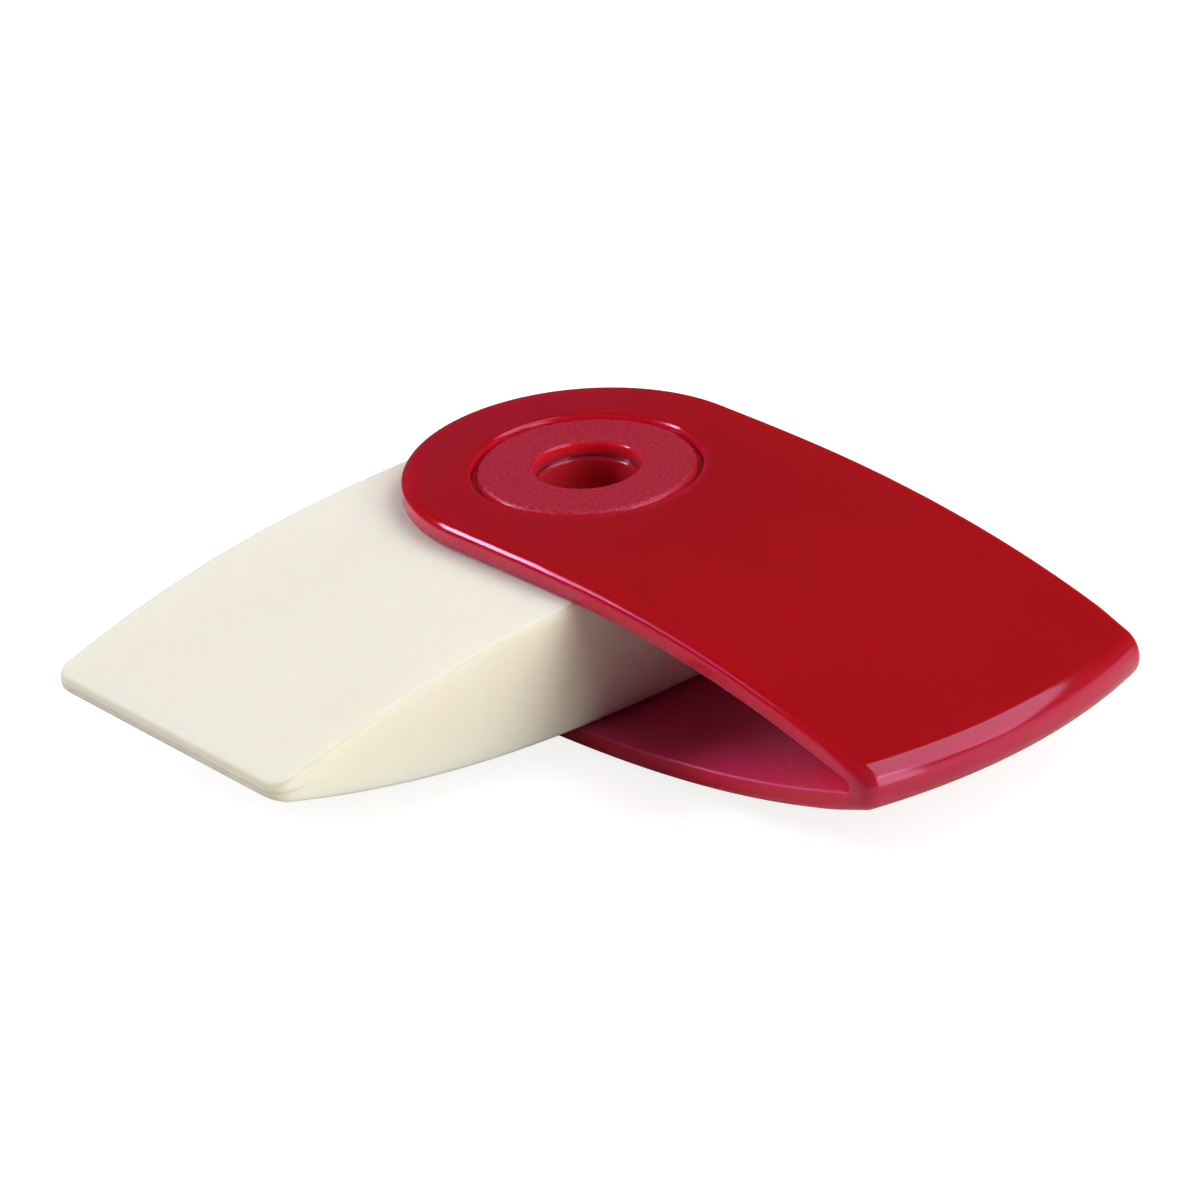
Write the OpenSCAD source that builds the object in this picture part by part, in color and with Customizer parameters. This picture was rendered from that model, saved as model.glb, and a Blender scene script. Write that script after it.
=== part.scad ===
// Swivel eraser: a wedge-shaped vinyl eraser that swings out of a two-cheek
// plastic sleeve on a hollow hub, like a blade out of a pocket knife.
// Frame: the origin is on the pivot axis at mid-thickness, +Z along the pivot
// axis, +X along the sleeve from the pivot towards its closed nose.
// Units are millimetres.

/* [Sleeve] */
// Half width of the sleeve, also the radius of its round pivot end
sleeve_half_w = 12.75; // [12:0.05:13]
// Hollow of each long side, at its middle
side_hollow = 0.12; // [0:0.01:0.3]
// Distance from the pivot axis to the outside of the closed nose
nose_reach = 41.55; // [40.4:0.05:42]
// Half of the closed thickness, measured at the pivot
half_thick = 6.4; // [6.2:0.05:7]
// Radius of the flat zone round the pivot on each cheek
flat_r = 12; // [11:0.1:12.6]
// Arc radius of the cheeks outside the flat zone
dome_r = 87.2; // [84:0.2:100]
// Cheek thickness, measured along the pivot axis
cheek_t = 1.54; // [1.3:0.02:1.6]
// Wall left at the nose, from the end of the slot to the outside
nose_wall = 1.6; // [1.4:0.1:2]
// Plan radius of the two nose corners
nose_corner_r = 1.1; // [1:0.1:2.4]
// Round along the nose, as seen from the side
nose_round_r = 1.8; // [0.8:0.1:1.8]

/* [Eraser] */
// Distance from the pivot axis to the rubbing tip
tip_reach = 37.1; // [34:0.1:37.2]
// Half width of the eraser over its pivot end
eraser_half_w = 12.7; // [11.6:0.1:12.7]
// Half width of the eraser at its tip
tip_half_w = 12.15; // [10:0.05:12.2]
// Plan radius of the two tip corners
tip_corner_r = 1.5; // [1:0.1:3]
// Gap between each eraser face and the cheek over it
face_gap = 0.05; // [0.04:0.01:0.2]
// Swing of the eraser from its stowed place in the sleeve, in degrees
swing = -92; // [-180:0.5:180]

/* [Hub] */
// Radius of the round hole in each cheek
hub_hole_r = 7.95; // [7.8:0.05:8.4]
// Running gap between a hub disc and its hole
run_gap = 0.05; // [0.02:0.01:0.1]
// Radius of the part of a hub disc that shows
disc_r = 7.54; // [7:0.02:7.6]
// Depth of the disc's outer face below the cheek's outer face
disc_sink = 0.05; // [0:0.01:0.1]
// Height of the groove that is seen round a disc
groove_h = 0.5; // [0.4:0.05:1.1]
// Radius of the mouth of the hole through the hub
mouth_r = 3.65; // [3.5:0.05:3.9]
// Radius of the hole through the hub's barrel
bore_r = 3.35; // [2.8:0.05:3.4]
// Outside radius of the barrel, also the radius of the cap's socket
barrel_r = 4.45; // [4.2:0.05:4.7]
// Outside radius of the cap's collar and of the barrel's foot
collar_r = 5.5; // [5.2:0.05:6]
// Depth of the mouth, down to the end of the barrel
mouth_depth = 1.1; // [0.8:0.05:1.3]

/* [Hidden] */
$fn = 96;

sleeve_red = [0.66, 0.05, 0.07];
hub_red = [0.70, 0.10, 0.16];
eraser_cream = [0.93, 0.91, 0.84];

// Outer half height of a cheek at distance r from the pivot axis
function z_out(r) = r <= flat_r ? half_thick
    : half_thick - (dome_r - sqrt(pow(dome_r, 2) - pow(r - flat_r, 2)));
// Inner half height of a cheek, before the slot's end is rounded
function z_in(r) = z_out(r) - cheek_t;

// The slot's end: a quarter ellipse from slot_c to slot_end
slot_end = nose_reach - nose_wall;
slot_c = slot_end - 0.8;
function slot_half(r) = r <= slot_c ? z_in(r)
    : r >= slot_end ? 0
    : z_in(slot_c) * sqrt(1 - pow((r - slot_c) / (slot_end - slot_c), 2));

// Nose round: an arc that leaves the cheek's slope and turns vertical
nose_slope = asin((nose_reach - flat_r) / dome_r);
nose_rr = min(nose_round_r, z_out(nose_reach) / (1 / cos(nose_slope) - tan(nose_slope)));
nose_arc_z = z_out(nose_reach) + nose_rr * (tan(nose_slope) - 1 / cos(nose_slope));
nose_arc_r = nose_reach - nose_rr;
n_dome = 24;
n_nose = 10;
outer_last = nose_reach - nose_rr * (1 - sin(nose_slope));
outer_half = concat(
    [for (i = [0 : n_dome]) let (r = flat_r + (outer_last - flat_r) * i / n_dome)
        [r, z_out(r)]],
    [for (i = [1 : n_nose]) let (a = nose_slope + (90 - nose_slope) * i / n_nose)
        [nose_arc_r + nose_rr * sin(a), nose_arc_z + nose_rr * cos(a)]]);
slot_edge = concat(
    [for (i = [0 : n_dome]) let (r = flat_r + (slot_c - flat_r) * i / n_dome)
        [r, z_in(r)]],
    [for (i = [1 : 8]) let (a = 90 * i / 8)
        [slot_c + (slot_end - slot_c) * sin(a), z_in(slot_c) * cos(a)]]);

// A closed half section, mirrored about the mid-plane, for a turned solid
function mirrored(half) = concat(
    [[0, half[0][1]]], half,
    [for (i = [len(half) - 1 : -1 : 0]) if (half[i][1] > 0.0001) [half[i][0], -half[i][1]]],
    [[0, -half[0][1]]]);

// Eraser half width at distance x from the pivot, along the eraser
function eraser_w(x) = x <= 10 ? eraser_half_w
    : eraser_half_w - (eraser_half_w - tip_half_w) * pow((x - 10) / (tip_reach - 10), 2);
tip_c = tip_reach - tip_corner_r;
function eraser_edge(x) = x <= tip_c ? eraser_w(x)
    : eraser_w(tip_c) - tip_corner_r + sqrt(max(0, pow(tip_corner_r, 2) - pow(x - tip_c, 2)));
// Eraser half height: it clears the slot at every angle of the swing
function eraser_z(x) = slot_half(norm([max(0, x), eraser_edge(max(0, x))])) - face_gap;
face_z = eraser_z(0);

// Plan of the sleeve: round pivot end, straight sides, nose arc about the pivot
corner_x = sqrt(pow(nose_reach - nose_corner_r, 2) - pow(sleeve_half_w - nose_corner_r, 2));
corner_y = sleeve_half_w - nose_corner_r;
corner_a = atan2(corner_y, corner_x);
function arc(cx, cy, r, a0, a1, n) = [for (i = [0 : n]) let (a = a0 + (a1 - a0) * i / n)
    [cx + r * cos(a), cy + r * sin(a)]];

function side_y(x) = sleeve_half_w - side_hollow * pow(sin(180 * x / corner_x), 2);

module sleeve_plan() {
    circle(r = sleeve_half_w);
    polygon(concat(
        [for (i = [0 : 15]) let (x = corner_x * i / 16) [x, -side_y(x)]],
        arc(corner_x, -corner_y, nose_corner_r, -90, -corner_a, 10),
        arc(0, 0, nose_reach + 3, -corner_a, corner_a, 1),
        arc(corner_x, corner_y, nose_corner_r, corner_a, 90, 10),
        [for (i = [15 : -1 : 0]) let (x = corner_x * i / 16) [x, side_y(x)]]));
}

module turned(half) { rotate_extrude() polygon(mirrored(half)); }

// One-piece sleeve: two domed cheeks joined at the nose, open along both sides
module sleeve() {
    color(sleeve_red) difference() {
        intersection() {
            turned(outer_half);
            translate([0, 0, -20]) linear_extrude(height = 40) sleeve_plan();
        }
        turned(slot_edge);
        translate([0, 0, -20]) cylinder(r = hub_hole_r, h = 40);
    }
}

n_side = 24;
n_tip = 10;
eraser_side = concat(
    arc(0, 0, eraser_half_w, 177.5, 92.5, 17),
    [for (i = [0 : n_side]) let (x = tip_c * i / n_side) [x, eraser_w(x)]],
    arc(tip_c, eraser_w(tip_c) - tip_corner_r, tip_corner_r, 80, 0, 8));
eraser_top = concat(
    [[-20, face_z]],
    [for (i = [0 : n_side]) let (x = 2 + (tip_c - 2) * i / n_side) [x, i == 0 ? face_z : eraser_z(x)]],
    [for (i = [1 : n_tip]) let (x = tip_c + tip_corner_r * i / n_tip) [x, eraser_z(x)]]);

module mirrored_polygon(top) {
    polygon(concat(top, [for (i = [len(top) - 1 : -1 : 0]) [top[i][0], -top[i][1]]]));
}

// The eraser: a wedge with a round pivot end and a hole for the hub
module eraser_block() {
    color(eraser_cream) rotate([0, 0, swing]) difference() {
        intersection() {
            rotate([90, 0, 0]) linear_extrude(height = 60, center = true) mirrored_polygon(eraser_top);
            translate([0, 0, -20]) linear_extrude(height = 40) mirrored_polygon(eraser_side);
        }
        translate([0, 0, -20]) cylinder(r = collar_r, h = 40);
    }
}

disc_z = half_thick - disc_sink;
groove_z = disc_z - groove_h;
journal_r = hub_hole_r - run_gap;
barrel_top = disc_z - mouth_depth;
collar_end = 0.3;

// Section of a hub disc, from the eraser's face outwards
function disc_section(inner) = concat(inner, [
    [mouth_r, disc_z], [disc_r, disc_z], [disc_r, groove_z], [journal_r, groove_z],
    [journal_r, face_z], [collar_r, face_z]]);

// Upper hub half: a disc with a collar whose socket takes the barrel
module hub_cap() {
    color(hub_red) rotate_extrude() polygon(disc_section([
        [collar_r, collar_end], [barrel_r, collar_end], [barrel_r, barrel_top], [mouth_r, barrel_top]]));
}

// Lower hub half: a disc with the hollow barrel
module hub_barrel() {
    color(hub_red) rotate_extrude() mirror([0, 1]) polygon(disc_section([
        [collar_r, collar_end], [barrel_r, collar_end], [barrel_r, -barrel_top],
        [bore_r, -barrel_top], [bore_r, barrel_top], [mouth_r, barrel_top]]));
}

sleeve();
eraser_block();
hub_cap();
hub_barrel();
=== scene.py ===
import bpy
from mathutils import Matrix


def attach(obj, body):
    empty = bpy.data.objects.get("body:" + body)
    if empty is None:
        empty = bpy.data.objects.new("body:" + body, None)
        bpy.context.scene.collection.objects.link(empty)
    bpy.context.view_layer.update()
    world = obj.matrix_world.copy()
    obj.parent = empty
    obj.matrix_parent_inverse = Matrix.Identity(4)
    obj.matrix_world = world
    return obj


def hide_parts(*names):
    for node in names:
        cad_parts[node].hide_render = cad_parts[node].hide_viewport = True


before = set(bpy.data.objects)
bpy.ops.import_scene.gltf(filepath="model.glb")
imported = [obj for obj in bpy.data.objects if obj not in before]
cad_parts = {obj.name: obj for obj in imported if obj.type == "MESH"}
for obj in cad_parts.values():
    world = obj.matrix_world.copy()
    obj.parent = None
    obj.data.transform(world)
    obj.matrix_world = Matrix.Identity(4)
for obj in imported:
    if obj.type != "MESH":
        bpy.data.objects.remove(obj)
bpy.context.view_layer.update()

import math

import bmesh
import bpy
import numpy as np
from mathutils import Matrix, Vector

MM = 0.001
PI = math.pi

# ---------------------------------------------------------------------------
# Sizes, in millimetres, the same as the CAD model's
# ---------------------------------------------------------------------------
SLEEVE_W = 12.75       # half width of the sleeve and radius of its pivot end
NOSE = 41.55           # pivot axis to the nose
HALF_T = 6.4           # half thickness at the pivot
FLAT_R = 12.0          # flat zone round the pivot
DOME_R = 87.2          # arc radius of a cheek outside the flat zone
CHEEK_T = 1.54
SLOT_END = NOSE - 1.6
SLOT_C = SLOT_END - 0.8
NOSE_CORNER = 1.1
NOSE_ROUND = 1.8
SIDE_HOLLOW = 0.12
HOLE_R = 7.95

TIP = 37.1
ERASER_W = 12.7
TIP_W = 12.15
TIP_CORNER = 1.5
FACE_GAP = 0.05
SWING = math.radians(-92.0)

DISC_Z = HALF_T - 0.05
DISC_R = 7.54
GROOVE_Z = DISC_Z - 0.5
JOURNAL_R = HOLE_R - 0.05
MOUTH_R = 3.65
BORE_R = 3.35
BARREL_R = 4.45
COLLAR_R = 5.5
COLLAR_END = 0.3
BARREL_TOP = DISC_Z - 1.1

EDGE_R = 0.60          # round along the sleeve's outer edges
CORNER_R = 0.90        # round of its two nose corners
HOLE_EDGE_R = 0.38     # round at the mouth of the cheek's hole
RIDGE = 0.03           # height of the parting line on the eraser's edge


def z_out(r):
    d = np.maximum(0.0, np.asarray(r, float) - FLAT_R)
    return HALF_T - (DOME_R - np.sqrt(DOME_R ** 2 - d * d))


def slot_half(r):
    r = np.asarray(r, float)
    end = float(z_out(SLOT_C)) - CHEEK_T
    q = np.clip((r - SLOT_C) / (SLOT_END - SLOT_C), 0.0, 1.0)
    return np.where(r <= SLOT_C, z_out(r) - CHEEK_T, end * np.sqrt(np.maximum(0.0, 1.0 - q * q)))


def eraser_w(x):
    x = np.asarray(x, float)
    return np.where(x <= 10.0, ERASER_W, ERASER_W - (ERASER_W - TIP_W) * ((x - 10.0) / (TIP - 10.0)) ** 2)


def eraser_z(x):
    x = np.maximum(0.0, np.asarray(x, float))
    c = TIP - TIP_CORNER
    over = np.clip(x - c, 0.0, TIP_CORNER)
    w = np.where(x <= c, eraser_w(x), eraser_w(c) - TIP_CORNER + np.sqrt(np.maximum(0.0, TIP_CORNER ** 2 - over ** 2)))
    return slot_half(np.hypot(x, w)) - FACE_GAP


FACE_Z = float(eraser_z(0.0))


# ---------------------------------------------------------------------------
# Mesh helpers
# ---------------------------------------------------------------------------
class Shell:
    """Quad grids, in millimetres, that are welded into one closed mesh."""

    def __init__(self):
        self.v = []
        self.f = []
        self.m = []

    def grid(self, p, closed=False, flip=False, mat=0):
        p = np.asarray(p, float)
        rows, cols = p.shape[:2]
        base = len(self.v)
        self.v.extend(map(tuple, p.reshape(-1, 3)))
        for r in range(rows - 1):
            for c in range(cols if closed else cols - 1):
                d = (c + 1) % cols
                q = (base + r * cols + c, base + r * cols + d, base + (r + 1) * cols + d, base + (r + 1) * cols + c)
                self.f.append(q[::-1] if flip else q)
                self.m.append(mat if np.isscalar(mat) else int(mat[r]))

    def mirrored(self):
        """Adds the mirror image in the mid-plane."""
        n = len(self.v)
        self.v.extend([(x, y, -z) for x, y, z in self.v])
        self.f.extend([tuple(n + i for i in reversed(q)) for q in list(self.f)])
        self.m.extend(list(self.m))

    def build(self, name, turn=0.0):
        me = bpy.data.meshes.new(name)
        bm = bmesh.new()
        c, s = math.cos(turn), math.sin(turn)
        vs = [bm.verts.new(((c * x - s * y) * MM, (s * x + c * y) * MM, z * MM)) for x, y, z in self.v]
        for q, k in zip(self.f, self.m):
            bm.faces.new([vs[i] for i in q]).material_index = k
        bmesh.ops.remove_doubles(bm, verts=bm.verts, dist=5e-7)
        bmesh.ops.dissolve_degenerate(bm, edges=bm.edges, dist=1e-7)
        bmesh.ops.delete(bm, geom=[e for e in bm.edges if not e.link_faces], context="EDGES")
        bmesh.ops.recalc_face_normals(bm, faces=bm.faces)
        for f in bm.faces:
            f.smooth = True
        open_edges = sum(1 for e in bm.edges if len(e.link_faces) != 2)
        bm.to_mesh(me)
        bm.free()
        print(name, "faces", len(me.polygons), "open edges", open_edges)
        ob = bpy.data.objects.new(name, me)
        bpy.context.scene.collection.objects.link(ob)
        return ob


def arc_points(cx, cy, r, a0, a1, n, first=True, last=True):
    a = np.linspace(a0, a1, n + 1)
    a = a[0 if first else 1: None if last else -1]
    d = np.stack([np.cos(a), np.sin(a)], 1)
    return np.array([cx, cy]) + r * d, d


def smooth01(t):
    t = np.clip(t, 0.0, 1.0)
    return t * t * (3.0 - 2.0 * t)


def lathe(name, loop, finish, segments=220):
    """A turned piece from a closed section: a list of (radius, height); finish gives each run's material slot."""
    shell = Shell()
    loop = np.asarray(loop, float)
    mid = (loop + np.roll(loop, -1, axis=0)) / 2
    a = np.linspace(0.0, 2 * PI, segments, endpoint=False)
    rows = [np.stack([r * np.cos(a), r * np.sin(a), np.full(segments, z)], 1) for r, z in np.vstack([loop, loop[:1]])]
    shell.grid(np.array(rows), closed=True, mat=[finish(r, z) for r, z in mid])
    return shell.build(name)


def fillet(cx, cz, r, a0, a1, n):
    """Points of an arc in a section, angles in degrees from the outward direction."""
    a = np.radians(np.linspace(a0, a1, n + 1))
    return [(cx + r * math.cos(t), cz + r * math.sin(t)) for t in a]


def densify(loop, step):
    """Splits the long straight runs of a section so that its faces stay square."""
    out = []
    n = len(loop)
    for i in range(n):
        p, q = np.array(loop[i]), np.array(loop[(i + 1) % n])
        k = max(1, int(math.ceil(np.linalg.norm(q - p) / step)))
        out += [tuple(p + (q - p) * j / k) for j in range(k)]
    return out


# ---------------------------------------------------------------------------
# Sleeve: two domed cheeks joined at the nose
# ---------------------------------------------------------------------------
CORNER_Y = SLEEVE_W - NOSE_CORNER
CORNER_X = math.sqrt((NOSE - NOSE_CORNER) ** 2 - CORNER_Y ** 2)
CORNER_A = math.atan2(CORNER_Y, CORNER_X)
NOSE_ARC_R = NOSE - NOSE_ROUND
NOSE_ARC_Z = HALF_T - DOME_R + math.sqrt((DOME_R - NOSE_ROUND) ** 2 - (NOSE_ARC_R - FLAT_R) ** 2)
NOSE_SLOPE = math.asin((NOSE_ARC_R - FLAT_R) / (DOME_R - NOSE_ROUND))


def side_y(x):
    return SLEEVE_W - SIDE_HOLLOW * np.sin(PI * np.clip(x, 0.0, CORNER_X) / CORNER_X) ** 2


def turned_gap(x, y, z):
    """Distance outside the sleeve's turned outer face, with the round of its nose; negative inside."""
    r = np.hypot(x, y)
    face = np.where(r <= FLAT_R, z - HALF_T, np.hypot(r - FLAT_R, z - HALF_T + DOME_R) - DOME_R)
    nose = np.hypot(r - NOSE_ARC_R, z - NOSE_ARC_Z) - NOSE_ROUND
    lean = np.arctan2(r - NOSE_ARC_R, z - NOSE_ARC_Z)
    return np.where((r > NOSE_ARC_R) & (lean > NOSE_SLOPE), nose, face)


def sleeve_gap(x, y, z):
    """Distance outside the sleeve's outer form, with its long edges and nose corners rounded."""
    rr = EDGE_R + (CORNER_R - EDGE_R) * smooth01((np.hypot(x, y) - 37.5) / 3.0)
    a = turned_gap(x, y, z) + rr
    b = np.where(x > 0, np.abs(y) - side_y(x), np.hypot(x, y) - SLEEVE_W) + rr
    return np.hypot(np.maximum(a, 0), np.maximum(b, 0)) + np.minimum(np.maximum(a, b), 0) - rr


def cast(ox, oy, oz, dx, dy, dz):
    """Where rays from inside the sleeve's form leave it."""
    lo, hi = np.zeros_like(ox), np.full_like(ox, 5.0)
    for _ in range(44):
        t = (lo + hi) / 2
        out = sleeve_gap(ox + t * dx, oy + t * dy, oz + t * dz) > 0
        lo, hi = np.where(out, lo, t), np.where(out, t, hi)
    return np.stack([ox + lo * dx, oy + lo * dy, oz + lo * dz], 1)


def sleeve_outline():
    """Points of the plan's edge, their normals, points inside the edge for rays, and how far each belongs to the nose."""
    x_end = math.sqrt(SLOT_END ** 2 - SLEEVE_W ** 2)
    for _ in range(20):
        x_end = math.sqrt(SLOT_END ** 2 - float(side_y(x_end)) ** 2)
    x_c = math.sqrt(SLOT_C ** 2 - SLEEVE_W ** 2)
    xs = np.concatenate([
        np.linspace(0.0, x_c, 84)[:-1],
        x_c + (x_end - x_c) * np.sin(np.linspace(0, PI / 2, 11)),
        np.linspace(x_end, CORNER_X, 7)[1:]])
    dy = SIDE_HOLLOW * PI / CORNER_X * np.sin(2 * PI * xs / CORNER_X)  # slope of the near side
    near = np.stack([xs, -side_y(xs)], 1)
    n_near = np.stack([dy, -np.ones_like(xs)], 1)
    n_near /= np.linalg.norm(n_near, axis=1)[:, None]
    n_c, n_n = 18, 64
    near_corner, n_near_corner = arc_points(CORNER_X, -CORNER_Y, NOSE_CORNER, -PI / 2, -CORNER_A, n_c, first=False)
    nose, n_nose = arc_points(0, 0, NOSE, -CORNER_A, CORNER_A, n_n, first=False)
    far_corner, n_far_corner = arc_points(CORNER_X, CORNER_Y, NOSE_CORNER, CORNER_A, PI / 2, n_c, first=False)
    far = near[::-1][1:] * [1, -1]
    n_far = n_near[::-1][1:] * [1, -1]
    back, n_back = arc_points(0, 0, SLEEVE_W, PI / 2, 3 * PI / 2, 110, first=False, last=False)
    p = np.concatenate([near, near_corner, nose, far_corner, far, back])
    n = np.concatenate([n_near, n_near_corner, n_nose, n_far_corner, n_far, n_back])

    core_y, core_r = SLEEVE_W - 1.4, NOSE - 2.0
    c_y = core_y - 0.5
    c_x = math.sqrt((core_r - 0.5) ** 2 - c_y ** 2)
    c_a = math.atan2(c_y, c_x)
    inset = 0.85 + 0.55 * smooth01((xs - 28.0) / (CORNER_X - 28.0))
    s_near = np.stack([xs - (CORNER_X - c_x) * smooth01((xs - 28.0) / (CORNER_X - 28.0)), -(side_y(xs) - inset)], 1)
    s_c1, _ = arc_points(c_x, -c_y, 0.5, -PI / 2, -c_a, n_c, first=False)
    s_nose, _ = arc_points(0, 0, core_r, -c_a, c_a, n_n, first=False)
    s_c2, _ = arc_points(c_x, c_y, 0.5, c_a, PI / 2, n_c, first=False)
    s_back, _ = arc_points(0, 0, SLEEVE_W - 0.85, PI / 2, 3 * PI / 2, 110, first=False, last=False)
    core = np.concatenate([s_near, s_c1, s_nose, s_c2, s_near[::-1][1:] * [1, -1], s_back])
    ease = smooth01(np.linspace(0, 1, n_c + 1)[1:])
    nose_w = np.concatenate([np.zeros(len(near)), ease, np.ones(len(nose)), 1 - ease, np.zeros(len(far) + len(back))])
    return p, n, core, nose_w


def build_sleeve():
    p, n, core, nose_w = sleeve_outline()
    r = np.hypot(p[:, 0], p[:, 1])
    theta = np.arctan2(p[:, 1], p[:, 0])
    ray = np.stack([np.cos(theta), np.sin(theta)], 1)
    shell = Shell()

    # outer face, from the hole's round to the edge's round
    h = ray * (HOLE_R + HOLE_EDGE_R)
    rows = []
    for t in np.linspace(0, 1, 57):
        xy = h + (core - h) * t
        rows.append(np.c_[xy, z_out(np.hypot(xy[:, 0], xy[:, 1]))])
    shell.grid(np.array(rows), closed=True)

    # round along the outer edge and over the nose
    d = p - core
    d /= np.linalg.norm(d, axis=1)[:, None]
    zc = (1 - nose_w) * (z_out(r) - 0.85) + nose_w * 0.3
    rows = []
    for psi in np.linspace(PI / 2, 0, 23):
        c = math.cos(psi)
        rows.append(cast(core[:, 0], core[:, 1], zc, d[:, 0] * c, d[:, 1] * c, math.sin(psi)))
    rows[0] = np.c_[core, z_out(np.hypot(core[:, 0], core[:, 1]))]
    shell.grid(np.array(rows), closed=True)

    # side wall, down to the slot or, at the nose, to the mid-plane
    low = slot_half(r)
    low[r >= SLOT_END - 1e-6] = 0.0
    inner_r = 0.16 * smooth01(low / 0.60)
    wall_low = low + inner_r
    rows = [rows[-1]] + [cast(core[:, 0], core[:, 1], zc + (wall_low - zc) * t, d[:, 0], d[:, 1], 0.0) for t in np.linspace(0, 1, 6)[1:]]
    shell.grid(np.array(rows), closed=True)

    # small round on the slot's edge; only where the slot is open
    is_open = r < SLOT_END - 1e-6
    rows = []
    for t in np.linspace(0, PI / 2, 9):
        xy = p - n * (inner_r * (1 - math.cos(t)))[:, None]
        zz = wall_low - inner_r * math.sin(t)
        rows.append(np.c_[xy, zz])
    edge_rows = np.array(rows)
    edge_rows[-1, :, 2] = slot_half(np.hypot(edge_rows[-1, :, 0], edge_rows[-1, :, 1]))
    edge_rows[-1, ~is_open, 2] = 0.0
    cols = len(p)
    for c in range(cols):
        d = (c + 1) % cols
        if is_open[c] or is_open[d]:
            shell.grid(edge_rows[:, [c, d]], mat=1)

    # inner face, from the slot's edge or end back to the hole
    b = np.where(is_open[:, None], edge_rows[-1, :, :2], ray * SLOT_END)
    rb = np.hypot(b[:, 0], b[:, 1])
    bdir = b / rb[:, None]
    h2 = ray * (HOLE_R + 0.1)
    rows = []
    tail = np.minimum(0.8, rb - HOLE_R - 0.6)
    for t in np.linspace(0, 1, 41)[:-1]:
        target = bdir * (rb - tail)[:, None]
        xy = h2 + (target - h2) * t
        rows.append(np.c_[xy, slot_half(np.hypot(xy[:, 0], xy[:, 1]))])
    for t in np.linspace(0, PI / 2, 11):
        xy = bdir * (rb - tail + tail * math.sin(t))[:, None]
        rows.append(np.c_[xy, slot_half(np.hypot(xy[:, 0], xy[:, 1]))])
    rows[-1][:, :2] = b
    rows[-1][~is_open, 2] = 0.0
    rows[-1][is_open, 2] = edge_rows[-1, is_open, 2]
    shell.grid(np.array(rows), closed=True, flip=True, mat=1)

    # hole: outer round, wall and inner round
    z_in = HALF_T - CHEEK_T
    sect = [(HOLE_R + HOLE_EDGE_R - HOLE_EDGE_R * math.sin(t), HALF_T - HOLE_EDGE_R + HOLE_EDGE_R * math.cos(t)) for t in np.linspace(0, PI / 2, 8)]
    sect += [(HOLE_R, HALF_T - HOLE_EDGE_R + (z_in + 0.1 - HALF_T + HOLE_EDGE_R) * t) for t in np.linspace(0, 1, 4)[1:]]
    sect += [(HOLE_R + 0.1 - 0.1 * math.cos(t), z_in + 0.1 - 0.1 * math.sin(t)) for t in np.linspace(0, PI / 2, 4)[1:]]
    rows = [np.c_[ray * rr, np.full(len(ray), zz)] for rr, zz in sect]
    shell.grid(np.array(rows), closed=True, flip=True)

    shell.mirrored()
    return shell.build("sleeve_shell")


# ---------------------------------------------------------------------------
# Eraser: a wedge with soft edges and a faint parting line
# ---------------------------------------------------------------------------
def eraser_outline():
    def slope(x):
        return np.where(x <= 10.0, 0.0, -2 * (ERASER_W - TIP_W) * (x - 10.0) / (TIP - 10.0) ** 2)

    x_s = TIP - TIP_CORNER
    for _ in range(10):
        nx = -float(slope(x_s)) / math.hypot(1.0, float(slope(x_s)))
        x_s = TIP - TIP_CORNER + TIP_CORNER * nx
    xs = np.linspace(0.0, x_s, 76)
    near = np.stack([xs, -eraser_w(xs)], 1)
    n_near = np.stack([-slope(xs), -np.ones_like(xs)], 1)
    n_near /= np.linalg.norm(n_near, axis=1)[:, None]
    ctr = near[-1] - TIP_CORNER * n_near[-1]
    a0 = math.atan2(n_near[-1, 1], n_near[-1, 0])
    c1, n1 = arc_points(ctr[0], ctr[1], TIP_CORNER, a0, 0.0, 14, first=False)
    ys = np.linspace(ctr[1], -ctr[1], 50)[1:]
    tip = np.stack([np.full(len(ys), TIP), ys], 1)
    n_tip = np.tile([1.0, 0.0], (len(ys), 1))
    c2, n2 = c1[::-1][1:] * [1, -1], n1[::-1][1:] * [1, -1]
    far, n_far = near[::-1] * [1, -1], n_near[::-1] * [1, -1]
    back, n_back = arc_points(0, 0, ERASER_W, PI / 2, 3 * PI / 2, 90, first=False, last=False)
    p = np.concatenate([near, c1, tip, c2, far, back])
    n = np.concatenate([n_near, n1, n_tip, n2, n_far, n_back])
    ramp = smooth01(np.linspace(0, 1, len(c1)))
    w = np.concatenate([np.zeros(len(near)), ramp, np.ones(len(tip)), ramp[::-1][1:], np.zeros(len(far) + len(back))])
    return p, n, w


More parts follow.
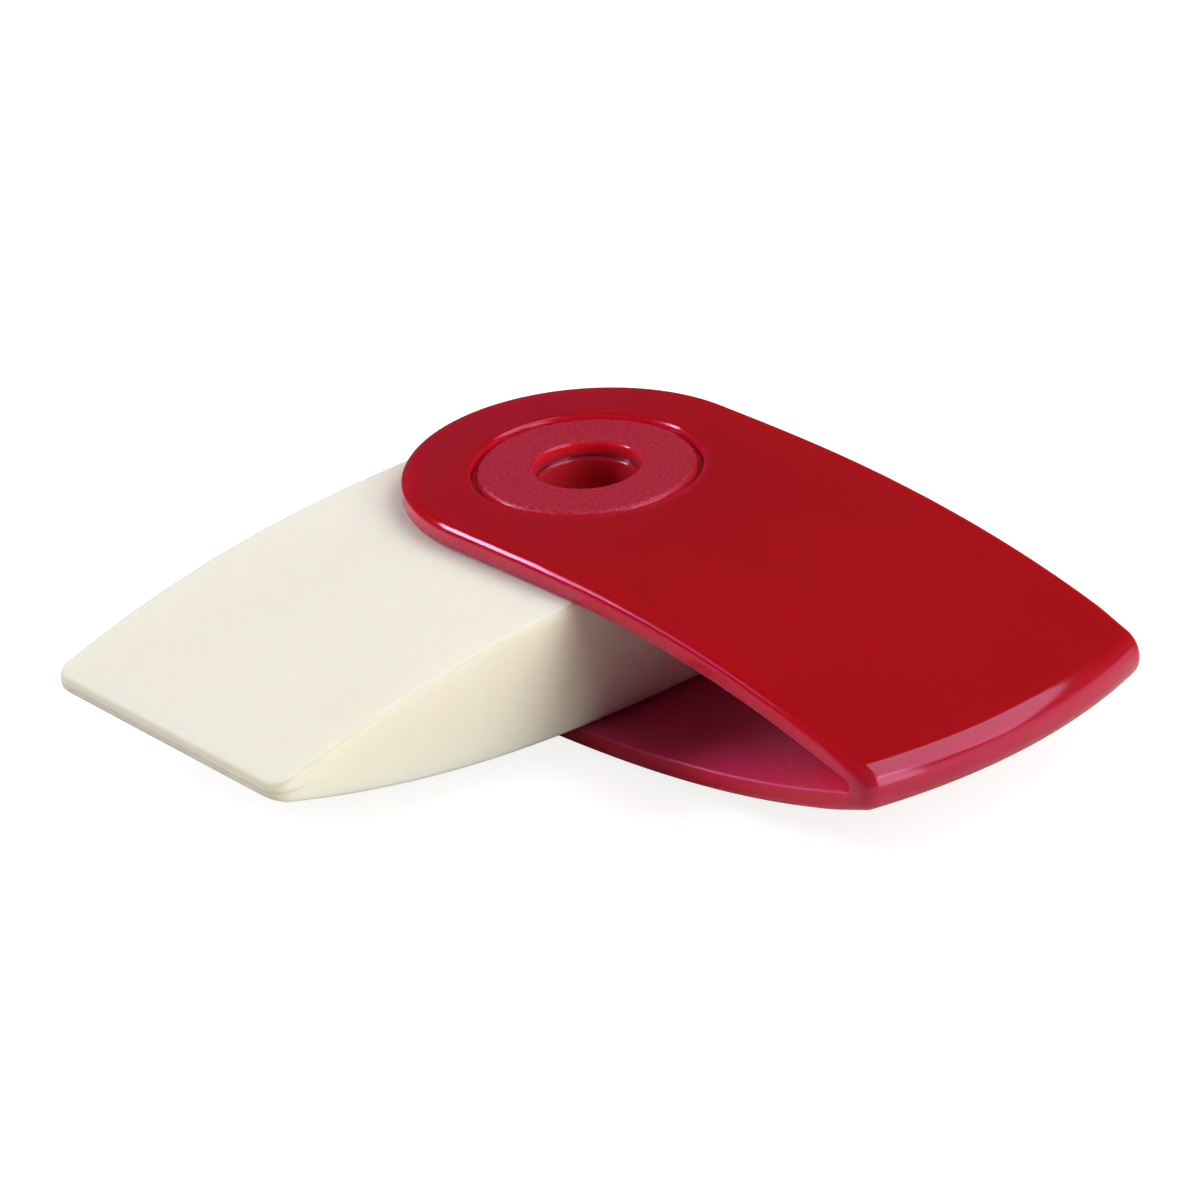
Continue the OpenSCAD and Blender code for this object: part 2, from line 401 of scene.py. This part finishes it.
def build_eraser():
    p, n, tip_w = eraser_outline()
    ridge = RIDGE * np.maximum(tip_w, smooth01((p[:, 0] - 31.0) / 5.0))
    p = p - n * ridge[:, None]
    theta = np.arctan2(p[:, 1], p[:, 0])
    ray = np.stack([np.cos(theta), np.sin(theta)], 1)
    rf = 0.33 + 0.30 * tip_w
    eps = 0.02
    fall = (eraser_z(p[:, 0] - eps) - eraser_z(p[:, 0])) / eps
    alpha = np.arctan(fall * n[:, 0])
    shell = Shell()
    q = p - n * (rf * (1 - np.sin(alpha)))[:, None]
    h = ray * COLLAR_R
    rows = []
    for t in np.linspace(0, 1, 61):
        xy = h + (q - h) * t
        rows.append(np.c_[xy, eraser_z(xy[:, 0])])
    shell.grid(np.array(rows), closed=True)
    zc = eraser_z(q[:, 0]) - rf * np.cos(alpha)
    rows = []
    for t in np.linspace(0, 1, 9):
        phi = alpha + (PI / 2 - alpha) * t
        xy = p - n * (rf * (1 - np.sin(phi)))[:, None]
        rows.append(np.c_[xy, zc + rf * np.cos(phi)])
    shell.grid(np.array(rows), closed=True)
    # side wall down to the mid-plane, with the raised parting line there
    rows = []
    line = np.minimum(0.16, zc * 0.8)
    for t in np.linspace(0, 1, 9):
        rows.append(np.c_[p, zc + (line - zc) * t])
    for t in (0.66, 0.36, 0.14, 0.0):
        rows.append(np.c_[p + n * (ridge * (1 - t) ** 2)[:, None], line * t])
    shell.grid(np.array(rows), closed=True)
    rows = [np.c_[h, np.full(len(h), z)] for z in np.linspace(FACE_Z, 0.0, 6)]
    rows[0][:, 2] = eraser_z(h[:, 0])
    shell.grid(np.array(rows), closed=True, flip=True)
    shell.mirrored()
    return shell.build("eraser_wedge", SWING)


# ---------------------------------------------------------------------------
# Hub halves
# ---------------------------------------------------------------------------
def disc_rim():
    """Section of a disc's show side, from the mouth outwards and down to the eraser's face."""
    pts = fillet(MOUTH_R + 0.22, DISC_Z - 0.23, 0.22, 180, 94, 7)
    r0, r1 = MOUTH_R + 0.26, DISC_R - 0.58
    pts += [(r0 + (r1 - r0) * t, DISC_Z - 0.010 + 0.010 * math.sin(PI * t)) for t in np.linspace(0, 1, 26)]
    pts += [(DISC_R - 0.54 + 0.54 * math.cos(a), DISC_Z - 0.36 + 0.35 * math.sin(a)) for a in np.radians(np.linspace(86, 2, 13))]
    pts += [(DISC_R, GROOVE_Z + 0.10), (DISC_R + 0.03, GROOVE_Z + 0.03), (DISC_R + 0.10, GROOVE_Z)]
    pts += fillet(JOURNAL_R - 0.08, GROOVE_Z - 0.08, 0.08, 90, 0, 3)
    pts += [(JOURNAL_R, FACE_Z + 0.05), (JOURNAL_R - 0.05, FACE_Z)]
    return pts


def disc_finish(r, z):
    """Slot 0, frosted, on a disc's show face and outer edge; slot 1, smooth, elsewhere."""
    return 0 if r > MOUTH_R + 0.10 and r < DISC_R + 0.01 and abs(z) > DISC_Z - 0.20 else 1


def build_hub_cap():
    loop = [(BARREL_R, COLLAR_END), (BARREL_R, BARREL_TOP), (MOUTH_R - 0.07, BARREL_TOP), (MOUTH_R - 0.02, BARREL_TOP + 0.02), (MOUTH_R, BARREL_TOP + 0.08)]
    loop += disc_rim()
    loop += [(COLLAR_R, FACE_Z), (COLLAR_R, COLLAR_END)]
    return lathe("hub_cap_disc", densify(loop, 0.35), disc_finish)


def build_hub_barrel():
    loop = [(MOUTH_R, -(BARREL_TOP + 0.12)), (MOUTH_R - 0.04, -(BARREL_TOP + 0.03)), (MOUTH_R - 0.1, -BARREL_TOP),
            (BORE_R + 0.12, -BARREL_TOP), (BORE_R + 0.03, -(BARREL_TOP - 0.04)), (BORE_R, -(BARREL_TOP - 0.13))]
    loop += fillet(BORE_R + 0.24, BARREL_TOP - 0.25, 0.24, 180, 90, 8)
    loop += [(MOUTH_R + 0.02, BARREL_TOP - 0.004)]
    loop += fillet(BARREL_R - 0.2, BARREL_TOP - 0.2, 0.2, 90, 0, 5)
    loop += [(BARREL_R, -COLLAR_END), (COLLAR_R, -COLLAR_END), (COLLAR_R, -FACE_Z)]
    loop += [(r, -z) for r, z in reversed(disc_rim())]
    return lathe("hub_barrel_disc", densify(loop, 0.35), disc_finish)


# ---------------------------------------------------------------------------
# Materials
# ---------------------------------------------------------------------------
def new_material(name):
    m = bpy.data.materials.new(name)
    m.use_nodes = True
    nt = m.node_tree
    nt.nodes.clear()
    out = nt.nodes.new("ShaderNodeOutputMaterial")
    bsdf = nt.nodes.new("ShaderNodeBsdfPrincipled")
    nt.links.new(bsdf.outputs[0], out.inputs[0])
    coord = nt.nodes.new("ShaderNodeTexCoord")
    return m, nt, bsdf, coord


def noise(nt, coord, scale, detail=3.0, rough=0.5, stretch=None):
    t = nt.nodes.new("ShaderNodeTexNoise")
    t.inputs["Scale"].default_value = scale
    t.inputs["Detail"].default_value = detail
    t.inputs["Roughness"].default_value = rough
    src = coord.outputs["Object"]
    if stretch:
        mp = nt.nodes.new("ShaderNodeMapping")
        mp.inputs["Rotation"].default_value = stretch[0]
        mp.inputs["Scale"].default_value = stretch[1]
        nt.links.new(src, mp.inputs["Vector"])
        src = mp.outputs["Vector"]
    nt.links.new(src, t.inputs["Vector"])
    return t.outputs["Fac"]


def ramp(nt, fac, stops):
    n = nt.nodes.new("ShaderNodeValToRGB")
    e = n.color_ramp.elements
    while len(e) < len(stops):
        e.new(0.5)
    for k, (pos, col) in zip(e, stops):
        k.position = pos
        k.color = (*col, 1.0) if len(col) == 3 else col
    nt.links.new(fac, n.inputs["Fac"])
    return n.outputs["Color"]


def span(nt, fac, a0, a1, b0, b1):
    n = nt.nodes.new("ShaderNodeMapRange")
    n.inputs["From Min"].default_value = a0
    n.inputs["From Max"].default_value = a1
    n.inputs["To Min"].default_value = b0
    n.inputs["To Max"].default_value = b1
    nt.links.new(fac, n.inputs["Value"])
    return n.outputs["Result"]


def math_node(nt, op, a, b):
    n = nt.nodes.new("ShaderNodeMath")
    n.operation = op
    for i, x in enumerate((a, b)):
        if isinstance(x, (int, float)):
            n.inputs[i].default_value = x
        else:
            nt.links.new(x, n.inputs[i])
    return n.outputs[0]


def bump(nt, height, strength, distance, normal=None):
    n = nt.nodes.new("ShaderNodeBump")
    n.inputs["Strength"].default_value = strength
    n.inputs["Distance"].default_value = distance
    nt.links.new(height, n.inputs["Height"])
    if normal is not None:
        nt.links.new(normal, n.inputs["Normal"])
    return n.outputs["Normal"]


def mix_color(nt, fac, a, b):
    n = nt.nodes.new("ShaderNodeMix")
    n.data_type = "RGBA"
    nt.links.new(fac, n.inputs[0])
    for sock, x in ((n.inputs[6], a), (n.inputs[7], b)):
        if isinstance(x, tuple):
            sock.default_value = (*x, 1.0)
        else:
            nt.links.new(x, sock)
    return n.outputs[2]


def gloss_red(name, low, high, edge, rough, scatter):
    """Polished translucent red plastic with faint handling marks, and a painted glow: a lighter colour on its upright
    faces.
    """
    m, nt, bsdf, coord = new_material(name)
    tone = noise(nt, coord, 55.0, 2.0)
    base = ramp(nt, tone, [(0.30, low), (0.70, high)])
    # dust: rare pale specks a tenth of a millimetre across
    vor = nt.nodes.new("ShaderNodeTexVoronoi")
    vor.inputs["Scale"].default_value = 420.0
    nt.links.new(coord.outputs["Object"], vor.inputs["Vector"])
    pick = nt.nodes.new("ShaderNodeSeparateColor")
    nt.links.new(vor.outputs["Color"], pick.inputs["Color"])
    chosen = span(nt, pick.outputs[0], 0.965, 0.975, 0.0, 1.0)
    dot = span(nt, vor.outputs["Distance"], 0.02, 0.05, 0.08, 0.0)
    speck = math_node(nt, "MULTIPLY", chosen, dot)
    # painted glow: upright faces, the edges of thin walls, get a lighter base colour that stands in for light coming
    # through the plastic
    facing = nt.nodes.new("ShaderNodeSeparateXYZ")
    nt.links.new(coord.outputs["Normal"], facing.inputs[0])
    upright = span(nt, math_node(nt, "ABSOLUTE", facing.outputs[2], 0.0), 0.25, 0.85, 1.0, 0.0)
    # painted shade: near the nose the upright faces get a darker colour in place of the painted glow, standing in for
    # less light coming through the solid nose
    place = nt.nodes.new("ShaderNodeSeparateXYZ")
    nt.links.new(coord.outputs["Object"], place.inputs[0])
    painted_nose_dimming = span(nt, place.outputs[0], 0.0372, 0.0396, 0.0, 1.0)
    painted_edge_glow = math_node(nt, "MULTIPLY", upright, math_node(nt, "SUBTRACT", 1.0, painted_nose_dimming))
    base = mix_color(nt, painted_edge_glow, base, edge)
    base = mix_color(nt, math_node(nt, "MULTIPLY", upright, painted_nose_dimming), base, (0.415, 0.021, 0.050))
    nt.links.new(mix_color(nt, speck, base, (0.62, 0.16, 0.18)), bsdf.inputs["Base Color"])
    # fine hairline scratches from handling, and a slight haze
    s1 = noise(nt, coord, 900.0, 2.0, 0.5, ((0, 0, 0.5), (0.03, 1.0, 1.0)))
    s2 = noise(nt, coord, 900.0, 2.0, 0.5, ((0, 0, -0.9), (0.03, 1.0, 1.0)))
    lines = math_node(nt, "MAXIMUM", span(nt, s1, 0.70, 0.76, 0.0, 1.0), span(nt, s2, 0.71, 0.77, 0.0, 1.0))
    haze = noise(nt, coord, 140.0, 4.0, 0.6)
    worn = math_node(nt, "ADD", span(nt, haze, 0.3, 0.7, rough[0], rough[1]), math_node(nt, "MULTIPLY", lines, 0.06))
    nt.links.new(worn, bsdf.inputs["Roughness"])
    peel = noise(nt, coord, 260.0, 2.0)
    nrm = bump(nt, peel, 0.06, 0.00004)
    nt.links.new(nrm, bsdf.inputs["Normal"])
    bsdf.inputs["IOR"].default_value = 1.5
    bsdf.inputs["Specular Tint"].default_value = (0.95, 0.50, 0.95, 1.0)
    bsdf.inputs["Subsurface Weight"].default_value = 1.0
    bsdf.inputs["Subsurface Radius"].default_value = (1.0, 0.08, 0.10)
    bsdf.inputs["Subsurface Scale"].default_value = scatter
    return m


def inner_red():
    """The sleeve's inside: the same plastic, left matt by the mould."""
    m, nt, bsdf, coord = new_material("sleeve_inner_red")
    tone = noise(nt, coord, 90.0, 2.0)
    grain = noise(nt, coord, 2600.0, 2.0, 0.55)
    # base colour: the plastic's red, with extra blue that is a painted violet sheen
    nt.links.new(ramp(nt, tone, [(0.30, (0.560, 0.0185, 0.1000)), (0.70, (0.605, 0.0210, 0.1090))]), bsdf.inputs["Base Color"])
    nt.links.new(span(nt, grain, 0.3, 0.7, 0.34, 0.46), bsdf.inputs["Roughness"])
    nt.links.new(bump(nt, grain, 0.12, 0.00004), bsdf.inputs["Normal"])
    bsdf.inputs["IOR"].default_value = 1.5
    bsdf.inputs["Specular Tint"].default_value = (0.95, 0.50, 0.95, 1.0)
    bsdf.inputs["Subsurface Weight"].default_value = 1.0
    bsdf.inputs["Subsurface Radius"].default_value = (1.0, 0.08, 0.10)
    bsdf.inputs["Subsurface Scale"].default_value = 0.015
    return m


def hub_material():
    m, nt, bsdf, coord = new_material("hub_frosted_red")
    grain = noise(nt, coord, 5200.0, 2.0, 0.6)
    coarse = noise(nt, coord, 2600.0, 2.0, 0.5)
    tone = noise(nt, coord, 160.0, 2.0)
    base = ramp(nt, tone, [(0.30, (0.350, 0.0115, 0.027)), (0.70, (0.375, 0.0140, 0.032))])
    fleck = span(nt, grain, 0.42, 0.62, 0.0, 0.62)
    nt.links.new(mix_color(nt, fleck, base, (0.56, 0.037, 0.070)), bsdf.inputs["Base Color"])
    nt.links.new(span(nt, coarse, 0.3, 0.7, 0.20, 0.32), bsdf.inputs["Roughness"])
    height = math_node(nt, "ADD", grain, math_node(nt, "MULTIPLY", coarse, 0.6))
    nt.links.new(bump(nt, height, 0.8, 0.00007), bsdf.inputs["Normal"])
    bsdf.inputs["IOR"].default_value = 1.5
    bsdf.inputs["Specular Tint"].default_value = (0.95, 0.50, 0.95, 1.0)
    return m


def eraser_material():
    m, nt, bsdf, coord = new_material("eraser_cream_vinyl")
    broad = noise(nt, coord, 60.0, 3.0, 0.55)
    fine = noise(nt, coord, 1500.0, 3.0, 0.6)
    base = ramp(nt, broad, [(0.30, (0.853, 0.836, 0.730)), (0.70, (0.876, 0.862, 0.762))])
    fleck = span(nt, fine, 0.60, 0.78, 0.0, 0.25)
    base = mix_color(nt, fleck, base, (0.78, 0.72, 0.57))
    # painted shade: the rounded edges between the top and the sides are given a darker, warmer base colour
    facing = nt.nodes.new("ShaderNodeSeparateXYZ")
    nt.links.new(coord.outputs["Normal"], facing.inputs[0])
    level = math_node(nt, "ABSOLUTE", facing.outputs[2], 0.0)
    edge = math_node(nt, "MULTIPLY", span(nt, level, 0.10, 0.45, 0.0, 1.0), span(nt, level, 0.70, 0.93, 1.0, 0.0))
    painted_edge_shade = math_node(nt, "MULTIPLY", edge, span(nt, broad, 0.25, 0.75, 0.45, 0.85))
    base = mix_color(nt, painted_edge_shade, base, (0.70, 0.655, 0.52))
    # the line where the two halves of the mould met, across the tip
    place = nt.nodes.new("ShaderNodeSeparateXYZ")
    nt.links.new(coord.outputs["Object"], place.inputs[0])
    line = math_node(nt, "MULTIPLY", span(nt, math_node(nt, "ABSOLUTE", place.outputs[2], 0.0), 0.00006, 0.00018, 0.28, 0.0),
                     span(nt, place.outputs[1], -0.0362, -0.0345, 1.0, 0.0))
    nt.links.new(mix_color(nt, line, base, (0.60, 0.55, 0.42)), bsdf.inputs["Base Color"])
    nt.links.new(span(nt, fine, 0.3, 0.7, 0.46, 0.60), bsdf.inputs["Roughness"])
    nt.links.new(bump(nt, fine, 0.10, 0.00005), bsdf.inputs["Normal"])
    bsdf.inputs["IOR"].default_value = 1.5
    bsdf.inputs["Subsurface Weight"].default_value = 0.75
    bsdf.inputs["Subsurface Radius"].default_value = (1.0, 0.64, 0.38)
    bsdf.inputs["Subsurface Scale"].default_value = 0.0034
    return m


def floor_material(name, low, high, glow):
    m, nt, bsdf, coord = new_material(name)
    along = nt.nodes.new("ShaderNodeVectorMath")
    along.operation = "DOT_PRODUCT"
    nt.links.new(coord.outputs["Object"], along.inputs[0])
    along.inputs[1].default_value = (1.0, 0.0, 0.0)
    # painted falloff of light: the colour runs darker towards the camera's left and lighter towards its right, with
    # slight random tone; a large step on the warm bounce floor, a slight one on the pale floor
    tone = math_node(nt, "ADD", span(nt, along.outputs["Value"], -0.03, 0.05, 0.15, 0.85), math_node(nt, "MULTIPLY", noise(nt, coord, 9.0, 2.0), 0.06))
    nt.links.new(ramp(nt, tone, [(0.18, low), (0.88, high)]), bsdf.inputs["Base Color"])
    bsdf.inputs["Roughness"].default_value = 0.8
    bsdf.inputs["Emission Color"].default_value = (1.0, 1.0, 1.0, 1.0)
    bsdf.inputs["Emission Strength"].default_value = glow
    return m


# ---------------------------------------------------------------------------
# The pieces
# ---------------------------------------------------------------------------
# the fifth colour passed to gloss_red is the painted glow given to upright faces
red = gloss_red("sleeve_gloss_red", (0.352, 0.0045, 0.0078), (0.384, 0.0056, 0.0093), (0.530, 0.0100, 0.0380), (0.085, 0.135), 0.0040)
red_inner = inner_red()
frost = hub_material()
hub_gloss = gloss_red("hub_gloss_red", (0.445, 0.0100, 0.0200), (0.480, 0.0120, 0.0230), (0.56, 0.0160, 0.0340), (0.10, 0.16), 0.0035)
cream = eraser_material()

sleeve = build_sleeve()
sleeve.data.materials.append(red)
sleeve.data.materials.append(red_inner)
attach(sleeve, "sleeve")
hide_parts("sleeve")

wedge = build_eraser()
wedge.data.materials.append(cream)
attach(wedge, "eraser")
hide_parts("eraser_block")

cap = build_hub_cap()
cap.data.materials.append(frost)
cap.data.materials.append(hub_gloss)
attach(cap, "eraser")
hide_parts("hub_cap")

barrel = build_hub_barrel()
barrel.data.materials.append(frost)
barrel.data.materials.append(hub_gloss)
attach(barrel, "eraser")
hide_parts("hub_barrel")

# ---------------------------------------------------------------------------
# Floor, camera and light
# ---------------------------------------------------------------------------
elev, azim, roll = math.radians(26.7224), math.radians(-49.2407), math.radians(4.2094)
turn = np.array([[math.cos(azim), -math.sin(azim), 0], [math.sin(azim), math.cos(azim), 0], [0, 0, 1]])
tilt = np.array([[1, 0, 0], [0, math.sin(elev), math.cos(elev)], [0, math.cos(elev), -math.sin(elev)]])
spin = np.array([[math.cos(roll), -math.sin(roll), 0], [math.sin(roll), math.cos(roll), 0], [0, 0, 1]])
axes = spin @ tilt @ turn            # rows: camera right, up and forward
reach = 410.6521                     # distance along the view to the pivot
focal = 14.5677 * reach              # focal length in pixels of a 1200-pixel frame
shift = np.array([(592.9776 - 600) * reach / focal, (600 - 547.5) * reach / focal, reach])
eye = -axes.T @ shift
cam_data = bpy.data.cameras.new("camera")
cam_data.sensor_width = 36.0
cam_data.lens = focal / 1200.0 * 36.0
cam_data.clip_start = 0.01
cam_data.clip_end = 50.0
cam = bpy.data.objects.new("camera", cam_data)
rot = Matrix([[axes[0][i], axes[1][i], -axes[2][i]] for i in range(3)]).to_4x4()
cam.matrix_world = Matrix.Translation(Vector(eye * MM)) @ rot
bpy.context.scene.collection.objects.link(cam)
bpy.context.scene.camera = cam

right = Vector((math.cos(-azim), math.sin(-azim), 0))          # level, to the camera's right
front = Vector((math.sin(-azim), -math.cos(-azim), 0))         # level, towards the camera
up = Vector((0, 0, 1))


# The pale table that shows, and under it a warmer one, in a front and a back half, that only sends light back to the
# part; the warmer one has a painted falloff of light, darker towards the camera's left
def floor_plane(name, z, ahead, material):
    place = front * ahead
    bpy.ops.mesh.primitive_plane_add(size=3.0, location=(place.x, place.y, z * MM), rotation=(0, 0, -azim))
    plane = bpy.context.object
    plane.name = name
    plane.data.materials.append(material)
    return plane


floor = floor_plane("floor", -HALF_T - 0.01, 0.0, floor_material("floor_pale", (0.37, 0.37, 0.37), (0.39, 0.39, 0.39), 0.84))
floor.visible_diffuse = floor.visible_glossy = floor.visible_transmission = floor.visible_shadow = False
warm = floor_material("floor_warm", (0.56, 0.55, 0.53), (0.88, 0.87, 0.85), 0.0)
near_half = floor_plane("floor_bounce_front", -HALF_T - 0.1, 1.5, warm)
far_half = floor_plane("floor_bounce_back", -HALF_T - 0.1, -1.5, warm)
near_half.visible_camera = far_half.visible_camera = False
far_half.visible_glossy = False


def softbox(name, azimuth, elevation, distance, width, height, radiance, color=(1, 1, 1), twist=0.0):
    """A rectangular light aimed at the part; azimuth runs from the camera's right towards the camera."""
    az, el = math.radians(azimuth), math.radians(elevation)
    d = (right * math.cos(az) + front * math.sin(az)) * math.cos(el) + up * math.sin(el)
    data = bpy.data.lights.new(name, "AREA")
    data.shape = "RECTANGLE"
    data.size, data.size_y = width, height
    data.energy = radiance * PI * width * height
    data.color = color
    ob = bpy.data.objects.new(name, data)
    ob.location = Vector((0.010, -0.008, 0.0)) + d * distance
    side = up.cross(d).normalized()
    rise = d.cross(side)
    c, t = math.cos(math.radians(twist)), math.sin(math.radians(twist))
    x_axis = side * c + rise * t
    y_axis = d.cross(x_axis)
    ob.rotation_euler = Matrix((x_axis, y_axis, d)).transposed().to_euler()
    ob.visible_camera = False
    bpy.context.scene.collection.objects.link(ob)
    return ob


softbox("key_right", 6.0, 49.0, 0.60, 0.74, 0.40, 3.46, (1.0, 0.99, 0.97), 47.0)
softbox("key_front", 45.0, 16.0, 0.60, 0.22, 0.40, 5.1, (1.0, 0.95, 0.80))
softbox("key_left", 198.0, 34.0, 0.50, 0.08, 0.25, 22.3, (0.97, 0.99, 1.0), 45.0)
softbox("key_left_edge", 189.0, 36.5, 0.50, 0.052, 0.18, 6.0, (0.95, 0.80, 0.90), 45.0)
softbox("wing_left", 177.0, 33.0, 0.50, 0.15, 0.13, 2.4, (0.90, 0.62, 1.0))
softbox("ceiling", 90.0, 62.0, 0.80, 1.20, 0.90, 0.10, (0.93, 0.97, 1.0))
softbox("card_right", 10.0, 4.0, 0.45, 0.50, 0.11, 0.92, (1.0, 0.90, 1.0))
softbox("back_wall", -112.0, 16.0, 0.90, 0.70, 0.35, 0.12, (0.62, 0.30, 1.0))

world = bpy.data.worlds.new("world")
world.use_nodes = True
world.node_tree.nodes["Background"].inputs[0].default_value = (0.9, 0.92, 1.0, 1.0)
world.node_tree.nodes["Background"].inputs[1].default_value = 0.035
bpy.context.scene.world = world
bpy.context.scene.view_settings.view_transform = "Standard"
bpy.context.scene.view_settings.look = "None"
